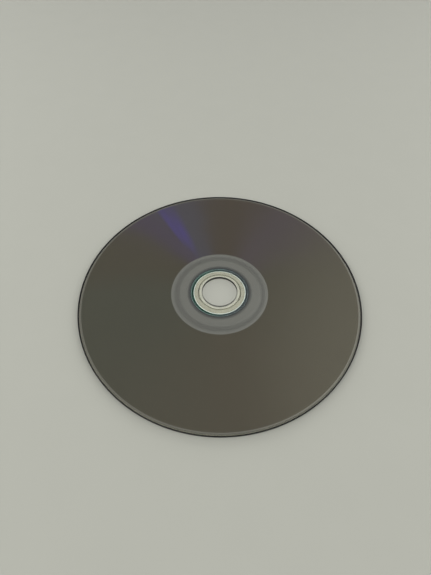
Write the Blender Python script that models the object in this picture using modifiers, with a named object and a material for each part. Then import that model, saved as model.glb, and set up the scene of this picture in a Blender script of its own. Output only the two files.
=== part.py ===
"""Optical data disc: a bonded laminate of turned layers round one axis, lying play side up.

Metres, +Z up. The origin is on the axis, at the label face that the disc lies on.
"""

import math

import bmesh
import bpy

# Overall sizes
DISC_DIAMETER = 0.120
SPINDLE_HOLE_DIAMETER = 0.015

# Thickness of each layer, from the label side up
LABEL_COAT_THICKNESS = 0.00002
LABEL_SUBSTRATE_THICKNESS = 0.00057
BOND_GAP = 0.00005
LACQUER_THICKNESS = 0.00001
REFLECTOR_THICKNESS = 0.00001
DYE_THICKNESS = 0.00001
PLAY_SUBSTRATE_THICKNESS = 0.00058

# Radial distances from the wall of the spindle hole
HUB_GROOVE_SETBACK = 0.00125
BOND_HUB_SETBACK = 0.0028
CLEAR_HUB_WIDTH = 0.0035
REFLECTOR_HUB_SETBACK = 0.0050
STACKING_RING_SETBACK = 0.0097

# Radial widths of the rings
HUB_GROOVE_WIDTH = 0.0006
HUB_GROOVE_FLOOR_WIDTH = 0.0002
LABEL_RING_WIDTH = 0.0041
MIRROR_BAND_WIDTH = 0.0084
STACKING_RING_WIDTH = 0.0024
STACKING_RING_TOP_WIDTH = 0.0006

# Radial distances from the rim
REFLECTOR_RIM_SETBACK = 0.00085
BOND_RIM_SETBACK = 0.00035
LABEL_RIM_SETBACK = 0.0012

# Radial margins of one film past the film that it covers
SILVER_RIM_MARGIN = 0.0006
LACQUER_SEAL_MARGIN = 0.0003

# Moulded details of the two substrates
STACKING_RING_HEIGHT = 0.00015
HUB_GROOVE_DEPTH = 0.0002
RIM_ROUND = 0.0002
HOLE_CHAMFER = 0.00015
SEAM_CHAMFER = 0.00006

# Clearance between the edges of films that lie side by side
FILM_EDGE_CLEARANCE = 0.00002

# Fineness of the turned surfaces
TURN_STEPS = 72
ROUND_STEPS = 3
SHARP_EDGE_ANGLE = math.radians(35)

# Heights where one layer meets the next
LABEL_FACE = 0.0
LABEL_COAT_TOP = LABEL_FACE + LABEL_COAT_THICKNESS
LABEL_SUBSTRATE_TOP = LABEL_FACE + LABEL_SUBSTRATE_THICKNESS
PLAY_SUBSTRATE_UNDERSIDE = LABEL_SUBSTRATE_TOP + BOND_GAP
DYE_UNDERSIDE = PLAY_SUBSTRATE_UNDERSIDE - DYE_THICKNESS
REFLECTOR_UNDERSIDE = DYE_UNDERSIDE - REFLECTOR_THICKNESS
LACQUER_UNDERSIDE = REFLECTOR_UNDERSIDE - LACQUER_THICKNESS
PLAY_FACE = PLAY_SUBSTRATE_UNDERSIDE + PLAY_SUBSTRATE_THICKNESS

# Radii of the edges
RIM = DISC_DIAMETER / 2
HOLE = SPINDLE_HOLE_DIAMETER / 2
REFLECTOR_EDGES = (HOLE + REFLECTOR_HUB_SETBACK, RIM - REFLECTOR_RIM_SETBACK)
DYE_EDGES = (REFLECTOR_EDGES[0] + MIRROR_BAND_WIDTH, REFLECTOR_EDGES[1] - SILVER_RIM_MARGIN)
LACQUER_EDGES = (REFLECTOR_EDGES[0] - LACQUER_SEAL_MARGIN, REFLECTOR_EDGES[1] + LACQUER_SEAL_MARGIN)
BOND_EDGES = (HOLE + BOND_HUB_SETBACK, RIM - BOND_RIM_SETBACK)
LABEL_RING_EDGES = (HOLE + CLEAR_HUB_WIDTH, HOLE + CLEAR_HUB_WIDTH + LABEL_RING_WIDTH)
LABEL_BASE_EDGES = (LABEL_RING_EDGES[1] + FILM_EDGE_CLEARANCE, RIM - LABEL_RIM_SETBACK)


def clear_scene():
    """Remove whatever the open file holds."""
    for thing in list(bpy.data.objects):
        bpy.data.objects.remove(thing, do_unlink=True)


def finish(name, colour, roughness, metallic=0.0, transmission=0.0):
    """Make one Principled material."""
    material = bpy.data.materials.new(name)
    material.use_nodes = True
    shader = material.node_tree.nodes["Principled BSDF"]
    shader.inputs["Base Color"].default_value = (*colour, 1.0)
    shader.inputs["Roughness"].default_value = roughness
    shader.inputs["Metallic"].default_value = metallic
    shader.inputs["Transmission Weight"].default_value = transmission
    return material


def round_corner(centre, radius, start, end):
    """Points of an arc in the (radius, height) plane, between two angles in degrees."""
    points = []
    for step in range(ROUND_STEPS + 1):
        angle = math.radians(start + (end - start) * step / ROUND_STEPS)
        points.append((centre[0] + radius * math.cos(angle), centre[1] + radius * math.sin(angle)))
    return points


def turned_piece(name, outline, material, parts, axis):
    """Turn a closed (radius, height) outline, listed down its outer side, round the disc's axis."""
    profile = bmesh.new()
    corners = [profile.verts.new((radius, 0.0, height)) for radius, height in outline]
    for corner, following in zip(corners, corners[1:] + corners[:1]):
        profile.edges.new((corner, following))
    mesh = bpy.data.meshes.new(name)
    profile.to_mesh(mesh)
    profile.free()

    piece = bpy.data.objects.new(name, mesh)
    parts.objects.link(piece)
    piece.parent = axis
    turn = piece.modifiers.new("turn", "SCREW")
    turn.axis = "Z"
    turn.angle = math.tau
    turn.steps = TURN_STEPS
    turn.render_steps = TURN_STEPS
    turn.use_merge_vertices = False

    # The turned mesh takes the profile's place, so that its edges can be marked sharp.
    graph = bpy.context.evaluated_depsgraph_get()
    turned = bpy.data.meshes.new_from_object(piece.evaluated_get(graph))
    piece.modifiers.clear()
    piece.data = turned
    bpy.data.meshes.remove(mesh)
    turned.name = name
    turned.shade_smooth()
    turned.set_sharp_from_angle(angle=SHARP_EDGE_ANGLE)
    turned.materials.append(material)
    return piece


def flat_ring(edges, top, underside):
    """Outline of a plain flat ring."""
    inner, outer = edges
    return [(outer, top), (outer, underside), (inner, underside), (inner, top)]


def wrapping_film(edges, underside, wrapped_edges, wrapped_underside):
    """Outline of a film that covers the film above it and seals both of that film's edges."""
    inner, outer = edges
    wrapped_inner = wrapped_edges[0] - FILM_EDGE_CLEARANCE
    wrapped_outer = wrapped_edges[1] + FILM_EDGE_CLEARANCE
    return [
        (outer, PLAY_SUBSTRATE_UNDERSIDE),
        (outer, underside),
        (inner, underside),
        (inner, PLAY_SUBSTRATE_UNDERSIDE),
        (wrapped_inner, PLAY_SUBSTRATE_UNDERSIDE),
        (wrapped_inner, wrapped_underside),
        (wrapped_outer, wrapped_underside),
        (wrapped_outer, PLAY_SUBSTRATE_UNDERSIDE),
    ]


def play_substrate_outline():
    """Clear disc on the play side, with its raised stacking ring."""
    ring = HOLE + STACKING_RING_SETBACK
    ring_side = (STACKING_RING_WIDTH - STACKING_RING_TOP_WIDTH) / 2
    ring_top = PLAY_FACE + STACKING_RING_HEIGHT
    rim_round = round_corner((RIM - RIM_ROUND, PLAY_FACE - RIM_ROUND), RIM_ROUND, 90, 0)
    return rim_round + [
        (RIM, PLAY_SUBSTRATE_UNDERSIDE + SEAM_CHAMFER),
        (RIM - SEAM_CHAMFER, PLAY_SUBSTRATE_UNDERSIDE),
        (HOLE + SEAM_CHAMFER, PLAY_SUBSTRATE_UNDERSIDE),
        (HOLE, PLAY_SUBSTRATE_UNDERSIDE + SEAM_CHAMFER),
        (HOLE, PLAY_FACE - HOLE_CHAMFER),
        (HOLE + HOLE_CHAMFER, PLAY_FACE),
        (ring, PLAY_FACE),
        (ring + ring_side, ring_top),
        (ring + STACKING_RING_WIDTH - ring_side, ring_top),
        (ring + STACKING_RING_WIDTH, PLAY_FACE),
    ]


def label_substrate_outline():
    """Clear disc on the label side, with its hub groove and a shallow bed for the printed coats."""
    groove_inner = HOLE + HUB_GROOVE_SETBACK
    groove_outer = groove_inner + HUB_GROOVE_WIDTH
    groove_side = (HUB_GROOVE_WIDTH - HUB_GROOVE_FLOOR_WIDTH) / 2
    groove_floor = LABEL_FACE + HUB_GROOVE_DEPTH
    bed_inner = LABEL_RING_EDGES[0] - FILM_EDGE_CLEARANCE
    bed_outer = LABEL_BASE_EDGES[1] + FILM_EDGE_CLEARANCE
    rim_round = round_corner((RIM - RIM_ROUND, LABEL_FACE + RIM_ROUND), RIM_ROUND, 0, -90)
    return [
        (RIM - SEAM_CHAMFER, LABEL_SUBSTRATE_TOP),
        (RIM, LABEL_SUBSTRATE_TOP - SEAM_CHAMFER),
    ] + rim_round + [
        (bed_outer, LABEL_FACE),
        (bed_outer, LABEL_COAT_TOP),
        (bed_inner, LABEL_COAT_TOP),
        (bed_inner, LABEL_FACE),
        (groove_outer, LABEL_FACE),
        (groove_outer - groove_side, groove_floor),
        (groove_inner + groove_side, groove_floor),
        (groove_inner, LABEL_FACE),
        (HOLE + HOLE_CHAMFER, LABEL_FACE),
        (HOLE, LABEL_FACE + HOLE_CHAMFER),
        (HOLE, LABEL_SUBSTRATE_TOP - SEAM_CHAMFER),
        (HOLE + SEAM_CHAMFER, LABEL_SUBSTRATE_TOP),
    ]


def build_disc():
    """Turn every layer, from the play side down to the label."""
    parts = bpy.data.collections.new("optical_disc")
    bpy.context.scene.collection.children.link(parts)
    axis = bpy.data.objects.new("disc_axis", None)
    parts.objects.link(axis)

    play_plastic = finish("play_side_polycarbonate", (0.86, 0.87, 0.82), 0.05, transmission=1.0)
    label_plastic = finish("label_side_polycarbonate", (0.86, 0.87, 0.80), 0.06, transmission=1.0)
    dye = finish("violet_brown_dye", (0.28, 0.24, 0.21), 0.08, metallic=0.9)
    silver = finish("silver_film", (0.80, 0.80, 0.77), 0.06, metallic=1.0)
    lacquer = finish("clear_lacquer", (0.85, 0.85, 0.80), 0.10, transmission=0.9)
    adhesive = finish("clear_adhesive", (0.87, 0.86, 0.78), 0.20, transmission=0.9)
    pale_ink = finish("pale_label_ink", (0.80, 0.80, 0.77), 0.45)
    green_ink = finish("dark_green_label_ink", (0.05, 0.14, 0.12), 0.45)

    dye_film = flat_ring(DYE_EDGES, PLAY_SUBSTRATE_UNDERSIDE, DYE_UNDERSIDE)
    reflector = wrapping_film(REFLECTOR_EDGES, REFLECTOR_UNDERSIDE, DYE_EDGES, DYE_UNDERSIDE)
    seal = wrapping_film(LACQUER_EDGES, LACQUER_UNDERSIDE, REFLECTOR_EDGES, REFLECTOR_UNDERSIDE)
    bond = wrapping_film(BOND_EDGES, LABEL_SUBSTRATE_TOP, LACQUER_EDGES, LACQUER_UNDERSIDE)
    base_coat = flat_ring(LABEL_BASE_EDGES, LABEL_COAT_TOP, LABEL_FACE)
    hub_ring = flat_ring(LABEL_RING_EDGES, LABEL_COAT_TOP, LABEL_FACE)

    turned_piece("play_substrate", play_substrate_outline(), play_plastic, parts, axis)
    turned_piece("recording_dye", dye_film, dye, parts, axis)
    turned_piece("reflector_film", reflector, silver, parts, axis)
    turned_piece("protective_lacquer", seal, lacquer, parts, axis)
    turned_piece("bond_layer", bond, adhesive, parts, axis)
    turned_piece("label_substrate", label_substrate_outline(), label_plastic, parts, axis)
    turned_piece("label_base_coat", base_coat, pale_ink, parts, axis)
    turned_piece("label_hub_ring", hub_ring, green_ink, parts, axis)


clear_scene()
build_disc()
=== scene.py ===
"""Optical disc: finely turned layers with their finishes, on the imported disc's sizes.

Metres, +Z out of the play side, with the label face at the origin's height.
"""

import math

import bmesh
import bpy
from bpy.props import FloatProperty, FloatVectorProperty, IntProperty, PointerProperty
from bpy.types import Operator, Panel, PropertyGroup
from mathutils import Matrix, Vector


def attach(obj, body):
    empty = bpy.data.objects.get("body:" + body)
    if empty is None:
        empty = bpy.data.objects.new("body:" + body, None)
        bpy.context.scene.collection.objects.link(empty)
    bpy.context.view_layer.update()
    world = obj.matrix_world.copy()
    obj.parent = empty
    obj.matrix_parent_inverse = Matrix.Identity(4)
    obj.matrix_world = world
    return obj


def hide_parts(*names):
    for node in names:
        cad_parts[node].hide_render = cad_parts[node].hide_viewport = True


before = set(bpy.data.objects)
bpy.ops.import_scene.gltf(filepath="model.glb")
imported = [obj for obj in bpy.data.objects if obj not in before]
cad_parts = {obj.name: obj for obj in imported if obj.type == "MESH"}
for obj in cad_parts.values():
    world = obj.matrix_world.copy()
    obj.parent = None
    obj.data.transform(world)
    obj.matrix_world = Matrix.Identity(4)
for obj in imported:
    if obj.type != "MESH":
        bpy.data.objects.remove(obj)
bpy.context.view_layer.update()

bl_info = {
    "name": "Optical Disc Looks",
    "version": (1, 0, 0),
    "blender": (4, 5, 0),
    "location": "View3D > Sidebar > Disc",
    "description": "Turns the layers of an optical disc and gives them their finishes",
    "category": "Object",
}

BODY = "root"
MM = 0.001

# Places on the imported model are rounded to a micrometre.
EDGE_DIGITS = 6


def edge_circles(node):
    """Radius and height of every edge circle of a turned CAD node, from the axis out."""
    circles = set()
    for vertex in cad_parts[node].data.vertices:
        circles.add((round(vertex.co.xy.length, EDGE_DIGITS), round(vertex.co.z, EDGE_DIGITS)))
    return sorted(circles)


CAD_CIRCLES = {node: edge_circles(node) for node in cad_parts}


def heights_of(node):
    """Heights of a CAD node's edges, from the label side up."""
    return sorted({height for radius, height in CAD_CIRCLES[node]})


def radii_at(node, height):
    """Radii of the edges that a CAD node has at one height, from the axis out."""
    return sorted({radius for radius, edge_height in CAD_CIRCLES[node] if edge_height == height})


# Heights where the layers meet
LABEL_FACE = heights_of("label_substrate")[0]
LABEL_DISC_TOP = heights_of("label_substrate")[-1]
COAT_TOP = heights_of("label_base_coat")[-1]
LACQUER_UNDERSIDE = heights_of("protective_lacquer")[0]
SILVER_UNDERSIDE = heights_of("reflector_film")[0]
DYE_UNDERSIDE = heights_of("recording_dye")[0]
PLAY_DISC_UNDERSIDE = heights_of("play_substrate")[0]
PLAY_FACE, RING_TOP = heights_of("play_substrate")[-2:]

# Radii of the edges
HOLE = CAD_CIRCLES["play_substrate"][0][0]
RIM = CAD_CIRCLES["play_substrate"][-1][0]
RING_FOOT_IN, RING_FOOT_OUT = radii_at("play_substrate", PLAY_FACE)[1:3]
RING_TOP_IN, RING_TOP_OUT = radii_at("play_substrate", RING_TOP)
RING_MIDDLE = (RING_FOOT_IN + RING_FOOT_OUT) / 2
GROOVE_IN, GROOVE_OUT, BED_IN, BED_OUT = radii_at("label_substrate", LABEL_FACE)[1:5]
GROOVE_CIRCLES = [circle for circle in CAD_CIRCLES["label_substrate"]
                  if GROOVE_IN < circle[0] < GROOVE_OUT]
(GROOVE_FLOOR_IN, GROOVE_FLOOR), (GROOVE_FLOOR_OUT, _) = GROOVE_CIRCLES
SILVER_IN, DYE_IN, DYE_OUT, SILVER_OUT = radii_at("reflector_film", PLAY_DISC_UNDERSIDE)
LACQUER_IN, LACQUER_OUT = radii_at("protective_lacquer", LACQUER_UNDERSIDE)
BOND_IN, BOND_OUT = radii_at("bond_layer", LABEL_DISC_TOP)
HUB_PRINT_IN, HUB_PRINT_OUT = radii_at("label_hub_ring", LABEL_FACE)
PALE_PRINT_IN, PALE_PRINT_OUT = radii_at("label_base_coat", LABEL_FACE)


def size(name, description, default):
    """A length property."""
    return FloatProperty(name=name, description=description, default=default, precision=5,
                         subtype="DISTANCE", unit="LENGTH")


def colour(name, description, default):
    """A linear colour property."""
    return FloatVectorProperty(name=name, description=description, default=default, size=3,
                               min=0.0, max=1.0, subtype="COLOR")


def brightness(name, description, default):
    """A brightness property, in which 1 is white."""
    return FloatProperty(name=name, description=description, default=default, min=0.0)


def power(name, description, default):
    """A lamp power property."""
    return FloatProperty(name=name, description=description, default=default, min=0.0, unit="POWER")


def angle(name, description, degrees):
    """An angle property, with its default given in degrees."""
    return FloatProperty(name=name, description=description, default=math.radians(degrees),
                         subtype="ANGLE", unit="ROTATION")


class DiscShape(PropertyGroup):
    """Fineness and small rounds of the turned layers."""

    turn_steps: IntProperty(name="Turn Steps", description="Facets round each turned layer",
                            default=360, min=24)
    round_steps: IntProperty(name="Round Steps", description="Facets across each rounded edge",
                             default=6, min=1)
    rim_round: size("Rim Round", "Radius of the moulded edge at the rim", 0.1 * MM)
    hole_round: size("Hole Round", "Radius of the moulded edge of the spindle hole", 0.1 * MM)
    seam_round: size("Seam Round", "Radius of the two edges at the bonded seam", 0.06 * MM)
    ring_round: size("Ring Round", "Radius of the gentle curves of the stacking ring", 3.4 * MM)
    groove_round: size("Groove Round", "Radius of the hub groove's edges", 0.04 * MM)
    film_bite: size("Film Bite", "Depth that a film sinks into the plastic it is coated on", 0.002 * MM)


class DiscFinish(PropertyGroup):
    """Colours of the plastic, the films and the print, with painted shade at the hole, in the hub groove and
    at the rim, and painted diffraction colours, a painted glint and a painted highlight.
    """

    plastic: colour("Plastic", "Tint of light that has crossed one clear disc", (0.995, 0.995, 0.985))
    hub_clear: colour("Hub Clear", "Tint of the label disc inside the hub groove", (1.0, 1.0, 0.95))
    # Painted shade: the grey tint in the hub groove stands in for the shade in that recess.
    groove: colour("Groove", "Tint of the label disc in the hub groove", (0.61, 0.61, 0.51))
    cream: colour("Cream", "Tint of the label disc outside the hub groove", (0.83, 0.825, 0.755))
    # Painted shade: the near-black tint at the spindle hole's wall stands in for the shade that falls there.
    painted_hole_shade: colour("Hole Wall", "Dark tint of the moulded wall of the spindle hole",
                      (0.015, 0.015, 0.012))
    # Painted shade: the grey tint of the label face outside the silver stands in for the shade on the floor
    # under the rim.
    clear_rim: colour("Clear Rim", "Tint of the label face outside the silver", (0.54, 0.52, 0.43))
    # Painted shade: the near-black tint at the rim's edge stands in for the dark line that the shaded rim
    # shows.
    painted_rim_shade: colour("Rim Wall", "Dark tint of the moulded wall of the rim", (0.001, 0.001, 0.001))
    adhesive: colour("Adhesive", "Tint of light that has crossed the bond", (0.97, 0.97, 0.955))
    silver: colour("Silver", "Mirror of the plain band", (0.665, 0.672, 0.600))
    silver_edge: colour("Silver Edge", "Mirror of the thin inner edge of the silver", (0.20, 0.22, 0.215))
    silver_rim: colour("Silver Rim", "Mirror of the silver that shows outside the dye",
                       (0.585, 0.572, 0.480))
    dye_olive: colour("Dye Olive", "Main colour of the dyed mirror", (0.272, 0.274, 0.200))
    # Painted diffraction: the tan, amber, umber, brown, mauve, slate and violet fans stand in for the room's
    # light split into colours by the tracks.
    painted_diffraction_tan: colour("Dye Tan", "Warm stretches of the dyed mirror", (0.298, 0.276, 0.198))
    painted_diffraction_amber: colour("Dye Amber", "Warmest stretch of the dyed mirror", (0.318, 0.284, 0.202))
    painted_diffraction_umber: colour("Dye Umber", "Dim stretch of the dyed mirror", (0.278, 0.252, 0.176))
    painted_diffraction_brown: colour("Dye Brown", "Brown fan of the dyed mirror", (0.272, 0.224, 0.163))
    painted_diffraction_mauve: colour("Dye Mauve", "Violet-grey fan of the dyed mirror", (0.310, 0.262, 0.262))
    painted_diffraction_slate: colour("Dye Slate", "Blue-grey fan of the dyed mirror", (0.280, 0.264, 0.295))
    painted_diffraction_violet: colour("Dye Violet", "Violet fan beside the bright streaks", (0.280, 0.234, 0.298))
    # Painted diffraction: the violet streaks stand in for a bright light split into colours by the tracks.
    painted_diffraction_streak: colour("Dye Streak", "Violet streaks of the dyed mirror", (0.285, 0.232, 0.60))
    # Painted highlight: the pale band at the ink ring's inner edge stands in for the bright line of light at
    # that edge.
    painted_highlight_edge: colour("Ink Edge", "Pale first pass of ink that shows inside the dark ring",
                     (0.86, 0.99, 0.93))
    # Painted shade: the darker green of the ink on the disc's left side stands in for the shadow there.
    ink_green_in_painted_shade: colour("Ink Green", "Dark green ink of the ring next to the hub", (0.0, 0.045, 0.025))
    ink_slate: colour("Ink Slate", "Slate stretch of the ring next to the hub", (0.042, 0.055, 0.060))
    # Painted glint: the lighter teal and mist band next to the silver's inner edge stands in for that edge's
    # glint.
    painted_glint_teal: colour("Ink Teal", "Lighter ink outside the dark green", (0.19, 0.30, 0.28))
    painted_glint_mist: colour("Ink Mist", "Lighter ink outside the slate stretch", (0.14, 0.18, 0.19))
    pale_ink: colour("Pale Ink", "Pale print over most of the label side", (0.80, 0.80, 0.77))


class DiscStage(PropertyGroup):
    """Floor, light and camera."""

    floor: colour("Floor", "Colour of the floor", (0.465, 0.47, 0.414))
    ceiling: brightness("Ceiling", "Brightness of the room overhead, which the mirrors show", 0.245)
    near_wall: brightness("Near Wall", "Brightness of the room low behind the camera", 0.3)
    far_wall: brightness("Far Wall", "Brightness of the room low behind the disc", 3.4)
    wall_white: brightness("Wall White", "Most that the walls show in view and in the mirrors", 0.8)
    left_power: power("Left Power", "Power of the soft lamp on the left", 3.8)
    right_power: power("Right Power", "Power of the soft lamp on the right", 3.4)
    camera_side: size("Camera Side", "Distance of the camera to the left of the axis", 0.22 * MM)
    camera_back: size("Camera Back", "Distance of the camera in front of the axis", 91.48 * MM)
    camera_height: size("Camera Height", "Height of the camera over the floor", 133.51 * MM)
    camera_pitch: angle("Camera Pitch", "Angle that the camera looks down", 54.796)
    camera_turn: angle("Camera Turn", "Angle that the camera turns to the left", 0.972)


def rounded(corners, steps):
    """Points of a closed outline of (radius, height, round) corners, with each round as an arc."""
    points = []
    before = corners[-1:] + corners[:-1]
    after = corners[1:] + corners[:1]
    for previous, corner, following in zip(before, corners, after):
        here = Vector(corner[:2])
        curve = corner[2]
        if curve == 0.0:
            points.append(here)
            continue
        back = (Vector(previous[:2]) - here).normalized()
        ahead = (Vector(following[:2]) - here).normalized()
        half_angle = back.angle(ahead) / 2
        centre = here + (back + ahead).normalized() * (curve / math.sin(half_angle))
        start = (here + back * (curve / math.tan(half_angle)) - centre).normalized()
        end = (here + ahead * (curve / math.tan(half_angle)) - centre).normalized()
        for step in range(steps + 1):
            points.append(centre + start.slerp(end, step / steps) * curve)
    return points


# Edges that turn by more than this are sharp.
SHARP_ANGLE = math.radians(30)

# Weight of large faces in the shading, of at most 100, so that flat faces mirror as flat ones do.
FLAT_FACE_WEIGHT = 100


def turned_piece(name, corners, material, node):
    """Turn a closed outline round the disc's axis, in place of a CAD node."""
    shape = bpy.context.scene.disc_shape
    turning = bmesh.new()
    outline = rounded(corners, shape.round_steps)
    profile = [turning.verts.new((radius, 0.0, height)) for radius, height in outline]
    sides = [turning.edges.new(pair) for pair in zip(profile, profile[1:] + profile[:1])]
    bmesh.ops.spin(turning, geom=profile + sides, cent=(0.0, 0.0, 0.0), axis=(0.0, 0.0, 1.0),
                   angle=math.tau, steps=shape.turn_steps, use_merge=True)
    bmesh.ops.recalc_face_normals(turning, faces=turning.faces)
    mesh = bpy.data.meshes.new(name)
    turning.to_mesh(mesh)
    turning.free()
    mesh.shade_smooth()
    mesh.set_sharp_from_angle(angle=SHARP_ANGLE)
    mesh.materials.append(material)

    piece = bpy.data.objects.new(name, mesh)
    bpy.context.scene.collection.objects.link(piece)
    flats = piece.modifiers.new("flat_faces", "WEIGHTED_NORMAL")
    flats.weight = FLAT_FACE_WEIGHT
    flats.keep_sharp = True
    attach(piece, BODY)
    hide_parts(node)


def flat_ring(inner, outer, underside, top):
    """Corners of a plain flat ring."""
    return [(outer, top, 0.0), (outer, underside, 0.0), (inner, underside, 0.0), (inner, top, 0.0)]


def wrapping_ring(edges, underside, top, wrapped_edges, wrapped_underside):
    """Corners of a film that covers the film above it and seals both of that film's edges."""
    inner, outer = edges
    wrapped_inner, wrapped_outer = wrapped_edges
    return flat_ring(inner, outer, underside, top) + [
        (wrapped_inner, top, 0.0),
        (wrapped_inner, wrapped_underside, 0.0),
        (wrapped_outer, wrapped_underside, 0.0),
        (wrapped_outer, top, 0.0),
    ]


def start_material(name):
    """A new node material with its tree and its Principled shader."""
    material = bpy.data.materials.new(name)
    material.use_nodes = True
    tree = material.node_tree
    return material, tree, tree.nodes["Principled BSDF"]


def feed(tree, socket, value):
    """Set an input to a value, or link it to another node's output."""
    if isinstance(value, bpy.types.NodeSocket):
        tree.links.new(value, socket)
    else:
        socket.default_value = value


def add_node(tree, kind, inputs=(), **settings):
    """Add a shader node with its settings and its inputs, given as (name or number, value) pairs."""
    node = tree.nodes.new("ShaderNode" + kind)
    for name, value in settings.items():
        setattr(node, name, value)
    for name, value in inputs:
        feed(tree, node.inputs[name], value)
    return node


def work_out(tree, operation, *terms):
    """Output of a Math node."""
    return add_node(tree, "Math", tuple(enumerate(terms)), operation=operation).outputs[0]


def share(tree, value, low, high, to_low=0.0, to_high=1.0, smooth=True):
    """Output of a clamped Map Range node."""
    kind = "SMOOTHSTEP" if smooth else "LINEAR"
    inputs = (("Value", value), ("From Min", low), ("From Max", high),
              ("To Min", to_low), ("To Max", to_high))
    return add_node(tree, "MapRange", inputs, interpolation_type=kind).outputs[0]


def as_rgba(value):
    """A colour with its alpha; an output stays as it is."""
    if isinstance(value, bpy.types.NodeSocket):
        return value
    return (*value, 1.0)


def mixed(tree, factor, first, second, way="MIX"):
    """Output of a colour Mix node, whose colours are its sockets 6 and 7 and its output 2."""
    inputs = ((0, factor), (6, as_rgba(first)), (7, as_rgba(second)))
    return add_node(tree, "Mix", inputs, data_type="RGBA", blend_type=way).outputs[2]


def blended(tree, factor, first, second):
    """Output of a Mix node for numbers."""
    return add_node(tree, "Mix", (("Factor", factor), ("A", first), ("B", second))).outputs[0]


def toned(tree, tint, depth):
    """A colour multiplied by a number that varies over the surface."""
    grey = add_node(tree, "CombineXYZ", ((0, depth), (1, depth), (2, depth))).outputs[0]
    return mixed(tree, 1.0, tint, grey, "MULTIPLY")


def banded(tree, value, stops, way="EASE"):
    """Colour that follows a value through (value, colour) stops."""
    first, last = stops[0][0], stops[-1][0]
    ramp = add_node(tree, "ValToRGB", ((0, share(tree, value, first, last, smooth=False)),))
    ramp.color_ramp.interpolation = way
    elements = ramp.color_ramp.elements
    while len(elements) < len(stops):
        # Each new stop is moved to its own place below.
        elements.new(0.5)
    for element, (place, tint) in zip(elements, stops):
        element.position = (place - first) / (last - first)
        element.color = as_rgba(tint)
    return ramp.outputs[0]


# Keeps the part of a place that lies in the disc's plane.
IN_PLANE = (1.0, 1.0, 0.0)


def own_place(tree):
    """Place on a piece, from the piece's own origin."""
    return add_node(tree, "TexCoord").outputs["Object"]


def radius_of(tree, place):
    """Distance of a place from the disc's axis."""
    flat = add_node(tree, "VectorMath", ((0, place), (1, IN_PLANE)), operation="MULTIPLY").outputs[0]
    return add_node(tree, "VectorMath", ((0, flat),), operation="LENGTH").outputs["Value"]


def azimuth_of(tree, place):
    """Azimuth of a place on the disc, in degrees from -180 to 180."""
    axes = add_node(tree, "SeparateXYZ", ((0, place),)).outputs
    return work_out(tree, "DEGREES", work_out(tree, "ARCTAN2", axes["Y"], axes["X"]))


def off_ring(tree, radius):
    """Distance, along the radius, from the middle of the stacking ring."""
    return work_out(tree, "ABSOLUTE", work_out(tree, "SUBTRACT", radius, RING_MIDDLE))


# Noise values between which a pattern runs from one end to the other: most patterns, wiping and smears
NOISE_ENDS = (0.3, 0.7)
WIPING_ENDS = (0.35, 0.75)
SMEAR_ENDS = (0.3, 0.75)

# Detail of the noise that runs in rings or in rays
RING_NOISE_DETAIL = 3.0


def noise(tree, place, fineness, detail):
    """Output of a noise texture with the given fineness, in features per metre."""
    inputs = (("Vector", place), ("Scale", fineness), ("Detail", detail))
    return add_node(tree, "TexNoise", inputs).outputs[0]


def ring_noise(tree, value, fineness):
    """Noise that follows one number, so that it runs in rings or in rays."""
    inputs = (("W", value), ("Scale", fineness), ("Detail", RING_NOISE_DETAIL))
    return add_node(tree, "TexNoise", inputs, noise_dimensions="1D").outputs[0]


def see_through(tree, shader, radius):
    """Let lamps shine through a clear material inside the stacking ring and outside the silver."""
    clear_hub = work_out(tree, "LESS_THAN", radius, RING_FOOT_IN)
    clear_rim = work_out(tree, "GREATER_THAN", radius, SILVER_OUT)
    clear = work_out(tree, "MAXIMUM", clear_hub, clear_rim)
    lamp_ray = add_node(tree, "LightPath").outputs["Is Shadow Ray"]
    through = add_node(tree, "BsdfTransparent")
    either = add_node(tree, "MixShader", ((0, work_out(tree, "MULTIPLY", lamp_ray, clear)),
                                          (1, shader.outputs[0]), (2, through.outputs[0])))
    tree.links.new(either.outputs[0], tree.nodes["Material Output"].inputs["Surface"])


WHITE = (1.0, 1.0, 1.0)
BLACK = (0.0, 0.0, 0.0)

# Widths of the painted shade at the spindle hole's wall and at the rim, and of the wider painted shade at the
# rim of the label face
PAINTED_HOLE_SHADE_WIDTH = 0.12 * MM
PAINTED_RIM_SHADE_WIDTH = 0.15 * MM
PAINTED_UNDER_RIM_SHADE_WIDTH = 0.55 * MM

# Width over which one tint of the plastic turns into the next
TINT_BLEND = 0.1 * MM


def painted_rim_shade_tint(tree, radius, height, finish):
    """Painted shade at the rim: clear up to the rim and near black at its outer edge, and on the label face
    grey outside the silver and near black over a wider edge.
    """
    edge = banded(tree, radius, [
        (RIM - PAINTED_RIM_SHADE_WIDTH - TINT_BLEND, WHITE),
        (RIM - PAINTED_RIM_SHADE_WIDTH, finish.painted_rim_shade),
    ])
    painted_under_rim_shade = banded(tree, radius, [
        (SILVER_OUT - TINT_BLEND, WHITE),
        (SILVER_OUT, finish.clear_rim),
        (RIM - PAINTED_UNDER_RIM_SHADE_WIDTH, finish.clear_rim),
        (RIM - PAINTED_UNDER_RIM_SHADE_WIDTH + TINT_BLEND, finish.painted_rim_shade),
    ])
    under = share(tree, height, LABEL_DISC_TOP / 2, LABEL_DISC_TOP / 4)
    return mixed(tree, under, edge, painted_under_rim_shade)


def bonded_gloss(tree, height):
    """Gloss of the clear plastic, which the adhesive takes away from the two faces that it bonds."""
    seam = (LABEL_DISC_TOP + PLAY_DISC_UNDERSIDE) / 2
    off_seam = work_out(tree, "ABSOLUTE", work_out(tree, "SUBTRACT", height, seam))
    bonded = PLAY_DISC_UNDERSIDE - LABEL_DISC_TOP
    return mixed(tree, share(tree, off_seam, bonded, 2 * bonded), BLACK, WHITE)


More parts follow.
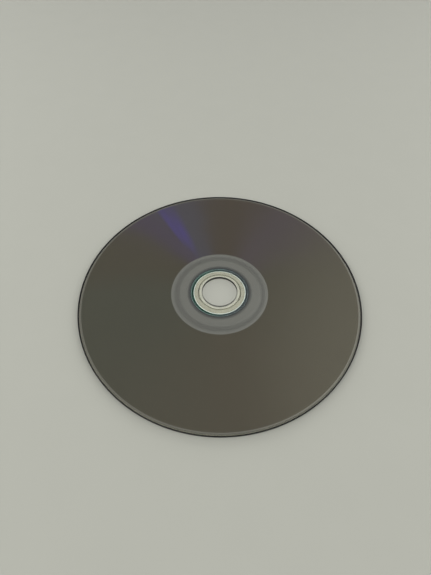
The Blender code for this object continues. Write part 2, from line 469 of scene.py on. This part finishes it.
# Clear plastic: its index of refraction, the fineness and detail of its clouds and its wiping marks, the
# depth of the clouds, the roughness that the marks add, and that of the hole's edge and the stacking ring
PLASTIC_INDEX = 1.585
PLASTIC_CLOUD = (90.0, 2.0)
PLASTIC_WIPING = (400.0, 4.0)
PLASTIC_DEPTH = (0.985, 1.0)
WIPING_DULLNESS = 0.03
HOLE_DULLNESS = 0.35
RING_DULLNESS = 0.24

# Radii where the dull edge of the hole starts and is full, and such distances from the stacking ring's middle
HOLE_DULL_REACH = (HOLE + 3 * PAINTED_HOLE_SHADE_WIDTH, HOLE + PAINTED_HOLE_SHADE_WIDTH)
RING_DULL_REACH = (1.6 * MM, 1.2 * MM)

# Roughness of the two clear discs where they aren't wiped
PLAY_ROUGHNESS = 0.01
LABEL_ROUGHNESS = 0.015


def clear_plastic(name, hub_tints_and_painted_shade, finish, roughness):
    """Clear moulded plastic, with painted shade at the hole's wall, in the hub groove and at the rim, tinted
    cream at the hub, dull at the hole and the stacking ring.
    """
    material, tree, shader = start_material(name)
    place = own_place(tree)
    radius = radius_of(tree, place)
    height = add_node(tree, "SeparateXYZ", ((0, place),)).outputs["Z"]
    hub_tint_and_painted_shade = banded(tree, radius, hub_tints_and_painted_shade)
    tint = mixed(tree, 1.0, hub_tint_and_painted_shade, painted_rim_shade_tint(tree, radius, height, finish), "MULTIPLY")
    depth = share(tree, noise(tree, place, *PLASTIC_CLOUD), *NOISE_ENDS, *PLASTIC_DEPTH)
    feed(tree, shader.inputs["Base Color"], toned(tree, tint, depth))
    wiping = noise(tree, place, *PLASTIC_WIPING)
    wiped = share(tree, wiping, *WIPING_ENDS, roughness, roughness + WIPING_DULLNESS)
    dull_hole = share(tree, radius, *HOLE_DULL_REACH, 0.0, HOLE_DULLNESS)
    dull_ring = share(tree, off_ring(tree, radius), *RING_DULL_REACH, 0.0, RING_DULLNESS)
    dull = work_out(tree, "MAXIMUM", dull_hole, dull_ring)
    feed(tree, shader.inputs["Roughness"], work_out(tree, "MAXIMUM", wiped, dull))
    feed(tree, shader.inputs["Specular Tint"], bonded_gloss(tree, height))
    shader.inputs["Transmission Weight"].default_value = 1.0
    shader.inputs["IOR"].default_value = PLASTIC_INDEX
    see_through(tree, shader, radius)
    return material


# Clear coats: index of refraction relative to the plastic that they touch, and the fineness and detail, the
# depth and the roughness of their clouds
COAT_INDEX = 1.03
COAT_CLOUD = (300.0, 4.0)
COAT_DEPTH = (0.97, 1.0)
COAT_ROUGHNESS = (0.0, 0.05)


def clear_coat(name, tint):
    """Clear coat between the discs, in touch with both, so that its faces hardly mirror."""
    material, tree, shader = start_material(name)
    place = own_place(tree)
    cloud = noise(tree, place, *COAT_CLOUD)
    depth = share(tree, cloud, *NOISE_ENDS, *COAT_DEPTH)
    feed(tree, shader.inputs["Base Color"], toned(tree, tint, depth))
    feed(tree, shader.inputs["Roughness"], share(tree, cloud, *NOISE_ENDS, *COAT_ROUGHNESS))
    shader.inputs["Transmission Weight"].default_value = 1.0
    shader.inputs["IOR"].default_value = COAT_INDEX
    see_through(tree, shader, radius_of(tree, place))
    return material


# Azimuths, in degrees, of the fans on the dyed mirror: the olive is the dye's own colour, the others are
# painted diffraction, the room's light split into colours by the tracks
PAINTED_DIFFRACTION_FANS = (
    (-180, "dye_olive"), (-140, "dye_olive"), (-95, "painted_diffraction_amber"), (-75, "painted_diffraction_amber"),
    (-40, "painted_diffraction_tan"), (0, "painted_diffraction_tan"), (25, "painted_diffraction_tan"), (48, "painted_diffraction_mauve"), (62, "painted_diffraction_mauve"),
    (76, "painted_diffraction_brown"), (95, "painted_diffraction_brown"), (105, "painted_diffraction_slate"), (118, "painted_diffraction_slate"),
    (125, "painted_diffraction_violet"), (133, "painted_diffraction_violet"), (143, "painted_diffraction_umber"), (165, "painted_diffraction_umber"), (180, "dye_olive"),
)

# Fineness and detail of the fans' sway, and the degrees by which they sway
DYE_SWAY = (60.0, 2.0)
SWAY_TURN = (-2.0, 2.0)

# The fans past the streaks lean, so that the violet one is wider toward the rim: the azimuths over which the
# lean sets in, and its degrees at the inner and the outer edge of the dye
LEAN_AZIMUTHS = (112.0, 126.0)
LEAN_TURN = (6.0, -4.0)

# Each painted diffraction streak, which stands in for a bright light split by the tracks, as the azimuths
# where it starts, is full, begins to end and ends, the radii where it starts and is full, and the share of it
# that is left at the outer edge
PAINTED_DIFFRACTION_STREAKS = (
    (112.0, 118.0, 118.8, 122.0, 18 * MM, 40 * MM, 0.45),
    (118.6, 121.0, 121.8, 124.6, 24 * MM, 43 * MM, 0.75),
)

# Fine rings, in features per metre, and fine rays of painted radial sheen, in features per degree, with the
# depth of both
DYE_RINGS = 1200.0
PAINTED_SHEEN_RAYS = 0.5
DYE_DEPTH = (0.985, 1.015)

# Fineness and detail of the smears on the dyed mirror, its roughness, and how unevenly its rings spread light
DYE_SMEAR = (120.0, 5.0)
DYE_ROUGHNESS = (0.03, 0.06)
DYE_ANISOTROPY = 0.5


def with_painted_streaks(tree, tint, radius, azimuth, painted_streak_tint):
    """A colour with the painted diffraction streaks laid over it."""
    for start, full, waning, end, start_radius, full_radius, left_at_edge in PAINTED_DIFFRACTION_STREAKS:
        growing = share(tree, azimuth, start, full)
        across = work_out(tree, "MULTIPLY", growing, share(tree, azimuth, end, waning))
        fading = share(tree, radius, full_radius, DYE_OUT, 1.0, left_at_edge)
        along = work_out(tree, "MULTIPLY", share(tree, radius, start_radius, full_radius), fading)
        tint = mixed(tree, work_out(tree, "MULTIPLY", across, along), tint, painted_streak_tint)
    return tint


def dyed_mirror(finish):
    """Dyed mirror with fine rings, painted diffraction fans and two painted violet diffraction streaks."""
    material, tree, shader = start_material("dyed_mirror")
    place = own_place(tree)
    radius = radius_of(tree, place)
    azimuth = azimuth_of(tree, place)
    sway = share(tree, noise(tree, place, *DYE_SWAY), *NOISE_ENDS, *SWAY_TURN, smooth=False)
    lean_turn = share(tree, radius, DYE_IN, DYE_OUT, *LEAN_TURN, smooth=False)
    lean = work_out(tree, "MULTIPLY", lean_turn, share(tree, azimuth, *LEAN_AZIMUTHS))
    leaning = work_out(tree, "ADD", work_out(tree, "ADD", azimuth, sway), lean)
    painted_fans = banded(tree, leaning, [(turn, getattr(finish, name)) for turn, name in PAINTED_DIFFRACTION_FANS], "B_SPLINE")
    dye_and_painted_diffraction = with_painted_streaks(tree, painted_fans, radius, azimuth, finish.painted_diffraction_streak)
    rings = share(tree, ring_noise(tree, radius, DYE_RINGS), *NOISE_ENDS, *DYE_DEPTH, smooth=False)
    painted_sheen_rays = share(tree, ring_noise(tree, azimuth, PAINTED_SHEEN_RAYS), *NOISE_ENDS, *DYE_DEPTH, smooth=False)
    depth = work_out(tree, "MULTIPLY", rings, painted_sheen_rays)
    feed(tree, shader.inputs["Base Color"], toned(tree, dye_and_painted_diffraction, depth))
    smear = noise(tree, place, *DYE_SMEAR)
    feed(tree, shader.inputs["Roughness"], share(tree, smear, *SMEAR_ENDS, *DYE_ROUGHNESS))
    shader.inputs["Metallic"].default_value = 1.0
    shader.inputs["Anisotropic"].default_value = DYE_ANISOTROPY
    tangent = add_node(tree, "Tangent", direction_type="RADIAL", axis="Z").outputs[0]
    tree.links.new(tangent, shader.inputs["Tangent"])
    return material


# Width of the silver's inner edge, where it thins out
THIN_SILVER = 2.0 * MM

# Distances from the middle of the stacking ring between which the painted shade on the silver under the ring
# fades out, and the silver's depth at both
PAINTED_RING_SHADE_REACH = (0.8 * MM, 1.6 * MM)
PAINTED_RING_SHADE_DEPTH = (0.75, 1.0)

# Fine rings of the silver, in features per metre, with their depth, and its smears and roughness
SILVER_RINGS = 3000.0
SILVER_DEPTH = (0.955, 1.035)
SILVER_SMEAR = (150.0, 4.0)
SILVER_ROUGHNESS = (0.03, 0.07)


def silver_mirror(finish):
    """Silver mirror with a thin dark inner edge and a warmer rim, with painted shade under the stacking ring.
    """
    material, tree, shader = start_material("silver_mirror")
    place = own_place(tree)
    radius = radius_of(tree, place)
    full = share(tree, radius, SILVER_IN, SILVER_IN + THIN_SILVER)
    band = mixed(tree, full, finish.silver_edge, finish.silver)
    silver = mixed(tree, share(tree, radius, DYE_IN, DYE_OUT), band, finish.silver_rim)
    painted_ring_shade = share(tree, off_ring(tree, radius), *PAINTED_RING_SHADE_REACH, *PAINTED_RING_SHADE_DEPTH)
    rings = share(tree, ring_noise(tree, radius, SILVER_RINGS), *NOISE_ENDS, *SILVER_DEPTH, smooth=False)
    depth = work_out(tree, "MULTIPLY", painted_ring_shade, rings)
    feed(tree, shader.inputs["Base Color"], toned(tree, silver, depth))
    smear = noise(tree, place, *SILVER_SMEAR)
    feed(tree, shader.inputs["Roughness"], share(tree, smear, *SMEAR_ENDS, *SILVER_ROUGHNESS))
    shader.inputs["Metallic"].default_value = 1.0
    return material


# Print: fineness and detail of its mottle, with its depth and roughness, and the relief of the mottle
PRINT_MOTTLE = (900.0, 5.0)
PRINT_DEPTH = (0.94, 1.0)
PRINT_ROUGHNESS = (0.38, 0.55)
PRINT_RELIEF = 0.15
PRINT_RELIEF_HEIGHT = 0.02 * MM


def satin_print(tree, shader, place, ink):
    """Give a printed colour its mottled satin surface."""
    mottle = noise(tree, place, *PRINT_MOTTLE)
    depth = share(tree, mottle, *NOISE_ENDS, *PRINT_DEPTH, smooth=False)
    feed(tree, shader.inputs["Base Color"], toned(tree, ink, depth))
    feed(tree, shader.inputs["Roughness"], share(tree, mottle, *NOISE_ENDS, *PRINT_ROUGHNESS))
    relief = (("Strength", PRINT_RELIEF), ("Distance", PRINT_RELIEF_HEIGHT), ("Height", mottle))
    tree.links.new(add_node(tree, "Bump", relief).outputs[0], shader.inputs["Normal"])


# Azimuth of the disc's left side, where the ink's darker green is painted shade, and the degrees away from it
# over which that green turns to the slate of the lit side
LEFT_SIDE = 180.0
GREEN_TO_SLATE = (40.0, 130.0)

# Radii where the painted highlight at the ink's inner edge ends and is still full, and where the dark ink
# turns into the painted glint and is fully turned
PAINTED_HIGHLIGHT_REACH = (HUB_PRINT_IN + 0.24 * MM, HUB_PRINT_IN + 0.20 * MM)
PAINTED_GLINT_REACH = (HUB_PRINT_IN + 0.85 * MM, HUB_PRINT_IN + 1.2 * MM)

# Gloss of the dark ink under the plastic
HUB_INK_GLOSS = 0.15


def hub_ring_ink(finish):
    """Dark ring of ink, with painted shade that makes it darker green on the left, a painted glint in its
    outer part and a painted highlight at its inner edge.
    """
    material, tree, shader = start_material("hub_ring_ink")
    place = own_place(tree)
    radius = radius_of(tree, place)
    off_left = work_out(tree, "SUBTRACT", LEFT_SIDE, work_out(tree, "ABSOLUTE", azimuth_of(tree, place)))
    painted_lit_side = share(tree, off_left, *GREEN_TO_SLATE)
    dark = mixed(tree, painted_lit_side, finish.ink_green_in_painted_shade, finish.ink_slate)
    light = mixed(tree, painted_lit_side, finish.painted_glint_teal, finish.painted_glint_mist)
    ring = mixed(tree, share(tree, radius, *PAINTED_GLINT_REACH), dark, light)
    satin_print(tree, shader, place, mixed(tree, share(tree, radius, *PAINTED_HIGHLIGHT_REACH), ring, finish.painted_highlight_edge))
    shader.inputs["Specular IOR Level"].default_value = HUB_INK_GLOSS
    return material


# Fineness and detail of the drift in the pale print's shade, and the tint that it drifts to
PALE_DRIFT = (40.0, 2.0)
DRIFT_TINT = (1.0, 0.985, 0.96)


def pale_label_ink(finish):
    """Pale coat over most of the label side, with a faint drift in its shade."""
    material, tree, shader = start_material("pale_label_ink")
    place = own_place(tree)
    warmer = [channel * tint for channel, tint in zip(finish.pale_ink, DRIFT_TINT)]
    drift = noise(tree, place, *PALE_DRIFT)
    satin_print(tree, shader, place, mixed(tree, drift, finish.pale_ink, warmer))
    return material


class AddPlayDisc(Operator):
    """Turn the clear disc on the play side"""

    bl_idname = "disc.add_play_disc"
    bl_label = "Play Disc"

    def execute(self, context):
        shape = context.scene.disc_shape
        finish = context.scene.disc_finish
        corners = [
            (RIM, PLAY_FACE, shape.rim_round),
            (RIM, PLAY_DISC_UNDERSIDE, shape.seam_round),
            (HOLE, PLAY_DISC_UNDERSIDE, shape.seam_round),
            (HOLE, PLAY_FACE, shape.hole_round),
            (RING_FOOT_IN, PLAY_FACE, shape.ring_round),
            (RING_TOP_IN, RING_TOP, shape.ring_round),
            (RING_TOP_OUT, RING_TOP, shape.ring_round),
            (RING_FOOT_OUT, PLAY_FACE, shape.ring_round),
        ]
        # Painted shade at the spindle hole's wall, then the clear plastic.
        tints_and_painted_shade = [
            (HOLE + PAINTED_HOLE_SHADE_WIDTH, finish.painted_hole_shade),
            (HOLE + PAINTED_HOLE_SHADE_WIDTH + TINT_BLEND, finish.plastic),
        ]
        plastic = clear_plastic("clear_play_plastic", tints_and_painted_shade, finish, PLAY_ROUGHNESS)
        turned_piece("clear_play_disc", corners, plastic, "play_substrate")
        return {"FINISHED"}


class AddLabelDisc(Operator):
    """Turn the clear disc on the label side"""

    bl_idname = "disc.add_label_disc"
    bl_label = "Label Disc"

    def execute(self, context):
        shape = context.scene.disc_shape
        finish = context.scene.disc_finish
        corners = [
            (RIM, LABEL_DISC_TOP, shape.seam_round),
            (RIM, LABEL_FACE, shape.rim_round),
            (BED_OUT, LABEL_FACE, 0.0),
            (BED_OUT, COAT_TOP, 0.0),
            (BED_IN, COAT_TOP, 0.0),
            (BED_IN, LABEL_FACE, 0.0),
            (GROOVE_OUT, LABEL_FACE, shape.groove_round),
            (GROOVE_FLOOR_OUT, GROOVE_FLOOR, shape.groove_round),
            (GROOVE_FLOOR_IN, GROOVE_FLOOR, shape.groove_round),
            (GROOVE_IN, LABEL_FACE, shape.groove_round),
            (HOLE, LABEL_FACE, shape.hole_round),
            (HOLE, LABEL_DISC_TOP, shape.seam_round),
        ]
        # Tints by radius: painted shade at the hole's wall and in the hub groove, clear and cream plastic
        # between and beyond.
        tints_and_painted_shade = [
            (HOLE + PAINTED_HOLE_SHADE_WIDTH, finish.painted_hole_shade),
            (HOLE + PAINTED_HOLE_SHADE_WIDTH + TINT_BLEND, finish.hub_clear),
            (GROOVE_IN, finish.hub_clear),
            (GROOVE_IN + TINT_BLEND, finish.groove),
            (GROOVE_OUT - TINT_BLEND, finish.groove),
            (GROOVE_OUT, finish.cream),
            (HUB_PRINT_IN - TINT_BLEND, finish.cream),
            (HUB_PRINT_IN, finish.plastic),
        ]
        plastic = clear_plastic("clear_label_plastic", tints_and_painted_shade, finish, LABEL_ROUGHNESS)
        turned_piece("clear_label_disc", corners, plastic, "label_substrate")
        return {"FINISHED"}


class AddMirrorFilms(Operator):
    """Turn the dyed film and the silver film behind it"""

    bl_idname = "disc.add_mirror_films"
    bl_label = "Mirror Films"

    def execute(self, context):
        bite = context.scene.disc_shape.film_bite
        finish = context.scene.disc_finish
        dye = flat_ring(DYE_IN, DYE_OUT, DYE_UNDERSIDE, PLAY_DISC_UNDERSIDE + bite)
        silver = wrapping_ring((SILVER_IN, SILVER_OUT), SILVER_UNDERSIDE, PLAY_DISC_UNDERSIDE + bite / 2,
                               (DYE_IN, DYE_OUT), DYE_UNDERSIDE)
        turned_piece("dye_mirror", dye, dyed_mirror(finish), "recording_dye")
        turned_piece("silver_backing", silver, silver_mirror(finish), "reflector_film")
        return {"FINISHED"}


class AddClearCoats(Operator):
    """Turn the sealing lacquer and the adhesive between the two discs"""

    bl_idname = "disc.add_clear_coats"
    bl_label = "Clear Coats"

    def execute(self, context):
        bite = context.scene.disc_shape.film_bite
        finish = context.scene.disc_finish
        top = PLAY_DISC_UNDERSIDE - bite
        lacquer = wrapping_ring((LACQUER_IN, LACQUER_OUT), LACQUER_UNDERSIDE + bite, top,
                                (SILVER_IN - bite, SILVER_OUT + bite), SILVER_UNDERSIDE - bite)
        bond = wrapping_ring((BOND_IN, BOND_OUT), LABEL_DISC_TOP + bite, top,
                             (LACQUER_IN - bite, LACQUER_OUT + bite), LACQUER_UNDERSIDE - bite)
        turned_piece("sealing_lacquer", lacquer, clear_coat("sealing_lacquer", finish.plastic),
                     "protective_lacquer")
        turned_piece("bond_adhesive", bond, clear_coat("bond_adhesive", finish.adhesive),
                     "bond_layer")
        return {"FINISHED"}


class AddLabelPrint(Operator):
    """Turn the dark ring and the pale coat printed on the label side"""

    bl_idname = "disc.add_label_print"
    bl_label = "Label Print"

    def execute(self, context):
        bite = context.scene.disc_shape.film_bite
        finish = context.scene.disc_finish
        hub = flat_ring(HUB_PRINT_IN, HUB_PRINT_OUT, LABEL_FACE, COAT_TOP + bite)
        pale = flat_ring(PALE_PRINT_IN, PALE_PRINT_OUT, LABEL_FACE, COAT_TOP + bite)
        turned_piece("green_hub_print", hub, hub_ring_ink(finish), "label_hub_ring")
        turned_piece("pale_label_print", pale, pale_label_ink(finish), "label_base_coat")
        return {"FINISHED"}


# Floor: its width, its squares along each side, its gap under the disc, the fineness and detail of its
# grain, the depth of the grain, its roughness and its gloss
FLOOR_SIZE = 3.0
FLOOR_SQUARES = 8
FLOOR_GAP = 0.04 * MM
FLOOR_GRAIN = (60.0, 3.0)
FLOOR_GRAIN_DEPTH = 0.97
FLOOR_ROUGHNESS = 0.7
FLOOR_GLOSS = 0.1


def floor_finish(stage):
    """Smooth pale table top with a faint grain."""
    material, tree, shader = start_material("pale_floor")
    grain = noise(tree, own_place(tree), *FLOOR_GRAIN)
    darker = [channel * FLOOR_GRAIN_DEPTH for channel in stage.floor]
    feed(tree, shader.inputs["Base Color"], mixed(tree, grain, darker, stage.floor))
    shader.inputs["Roughness"].default_value = FLOOR_ROUGHNESS
    shader.inputs["Specular IOR Level"].default_value = FLOOR_GLOSS
    return material


# Places of the two soft lamps, their width and height, and the share of their light that mirrors show, which
# makes them about white there, so that they don't fill the disc with glare from the sides
LEFT_LAMP_PLACE = (-0.68, -0.05, 0.42)
RIGHT_LAMP_PLACE = (0.68, -0.05, 0.42)
LAMP_ACROSS = (0.7, 0.45)
LAMP_IN_MIRRORS = 0.2


def add_lamp(name, place, lamp_power):
    """Soft lamp that faces the disc."""
    lamp = bpy.data.lights.new(name, "AREA")
    lamp.shape = "RECTANGLE"
    lamp.size, lamp.size_y = LAMP_ACROSS
    lamp.energy = lamp_power
    lamp.use_nodes = True
    tree = lamp.node_tree
    mirrored = work_out(tree, "MINIMUM", add_node(tree, "LightPath").outputs["Glossy Depth"], 1.0)
    feed(tree, tree.nodes["Emission"].inputs["Strength"], blended(tree, mirrored, 1.0, LAMP_IN_MIRRORS))

    holder = bpy.data.objects.new(name, lamp)
    holder.location = place
    holder.rotation_euler = (-Vector(place)).to_track_quat("-Z", "Y").to_euler()
    bpy.context.scene.collection.objects.link(holder)


# Direction, from the disc, of the brightest patch of the ceiling, the cosine of the angle off it where the
# patch starts, and how much brighter it is than the rest
GLOW_DIRECTION = (0.56, 0.33, 0.76)
GLOW_START = 0.84
GLOW_GAIN = 1.5

# Sines of the elevations where the walls of the room begin to fade and where the ceiling starts
WALL_FADE = 0.31
WALL_TOP = 0.45


def soft_room(stage):
    """Plain soft light all round: bright low down, brighter behind the disc, and dim overhead."""
    room = bpy.data.worlds.new("soft_room")
    room.use_nodes = True
    tree = room.node_tree
    way = add_node(tree, "TexCoord").outputs["Generated"]
    axes = add_node(tree, "SeparateXYZ", ((0, way),)).outputs
    toward = add_node(tree, "VectorMath", ((0, way), (1, GLOW_DIRECTION)), operation="DOT_PRODUCT")
    ceiling = share(tree, toward.outputs["Value"], GLOW_START, 1.0, stage.ceiling, stage.ceiling * GLOW_GAIN)
    wall = share(tree, axes["Y"], -1.0, 1.0, stage.near_wall, stage.far_wall, smooth=False)
    lit = blended(tree, share(tree, axes["Z"], WALL_TOP, WALL_FADE), ceiling, wall)
    # The camera, the mirrors and the clear plastic see the room no brighter than near white.
    paths = add_node(tree, "LightPath").outputs
    mirrored = work_out(tree, "MAXIMUM", paths["Is Glossy Ray"], paths["Is Transmission Ray"])
    seen = work_out(tree, "MAXIMUM", paths["Is Camera Ray"], mirrored)
    strength = blended(tree, seen, lit, work_out(tree, "MINIMUM", lit, stage.wall_white))
    background = tree.nodes["Background"]
    feed(tree, background.inputs["Strength"], strength)
    background.inputs["Color"].default_value = as_rgba(WHITE)
    return room


# The photograph's size in pixels, its focal length in the same pixels, and the sensor's width in millimetres
PHOTO_WIDTH = 431
PHOTO_HEIGHT = 575
PHOTO_FOCAL_LENGTH = 372.9
SENSOR_WIDTH = 36.0

# Nearest distance that the camera sees
CLIP_START = 1.0 * MM


class AddStage(Operator):
    """Lay the floor, light the disc and place the camera as in the photograph"""

    bl_idname = "disc.add_stage"
    bl_label = "Stage"

    def execute(self, context):
        scene = context.scene
        stage = scene.disc_stage
        bpy.ops.mesh.primitive_grid_add(x_subdivisions=FLOOR_SQUARES, y_subdivisions=FLOOR_SQUARES,
                                        size=FLOOR_SIZE, location=(0.0, 0.0, LABEL_FACE - FLOOR_GAP))
        floor = context.object
        floor.name = "floor"
        floor.data.materials.append(floor_finish(stage))

        scene.world = soft_room(stage)
        add_lamp("left_lamp", LEFT_LAMP_PLACE, stage.left_power)
        add_lamp("right_lamp", RIGHT_LAMP_PLACE, stage.right_power)

        lens = bpy.data.cameras.new("camera")
        lens.sensor_width = SENSOR_WIDTH
        lens.lens = SENSOR_WIDTH * PHOTO_FOCAL_LENGTH / max(PHOTO_WIDTH, PHOTO_HEIGHT)
        lens.clip_start = CLIP_START
        camera = bpy.data.objects.new("camera", lens)
        camera.location = (-stage.camera_side, -stage.camera_back, stage.camera_height)
        camera.rotation_euler = (math.pi / 2 - stage.camera_pitch, 0.0, stage.camera_turn)
        scene.collection.objects.link(camera)
        scene.camera = camera
        scene.view_settings.view_transform = "Standard"
        return {"FINISHED"}


class DiscPanel(Panel):
    """Sizes, colours and steps of the disc"""

    bl_idname = "VIEW3D_PT_disc"
    bl_label = "Optical Disc"
    bl_space_type = "VIEW_3D"
    bl_region_type = "UI"
    bl_category = "Disc"

    def draw(self, context):
        for group in (context.scene.disc_shape, context.scene.disc_finish, context.scene.disc_stage):
            box = self.layout.box()
            for name in group.bl_rna.properties.keys():
                if name not in ("rna_type", "name"):
                    box.prop(group, name)
        for step in STEPS:
            self.layout.operator(step.bl_idname)


STEPS = (AddPlayDisc, AddMirrorFilms, AddClearCoats, AddLabelDisc, AddLabelPrint, AddStage)
CLASSES = (DiscShape, DiscFinish, DiscStage, *STEPS, DiscPanel)


def register():
    """Register the classes and hang the settings on the scene."""
    for one in CLASSES:
        bpy.utils.register_class(one)
    bpy.types.Scene.disc_shape = PointerProperty(type=DiscShape)
    bpy.types.Scene.disc_finish = PointerProperty(type=DiscFinish)
    bpy.types.Scene.disc_stage = PointerProperty(type=DiscStage)


def unregister():
    """Take the settings off the scene and unregister the classes."""
    del bpy.types.Scene.disc_stage
    del bpy.types.Scene.disc_finish
    del bpy.types.Scene.disc_shape
    for one in reversed(CLASSES):
        bpy.utils.unregister_class(one)


def main():
    """Build the disc and its stage."""
    register()
    bpy.ops.disc.add_play_disc()
    bpy.ops.disc.add_mirror_films()
    bpy.ops.disc.add_clear_coats()
    bpy.ops.disc.add_label_disc()
    bpy.ops.disc.add_label_print()
    bpy.ops.disc.add_stage()


if __name__ == "__main__":
    main()
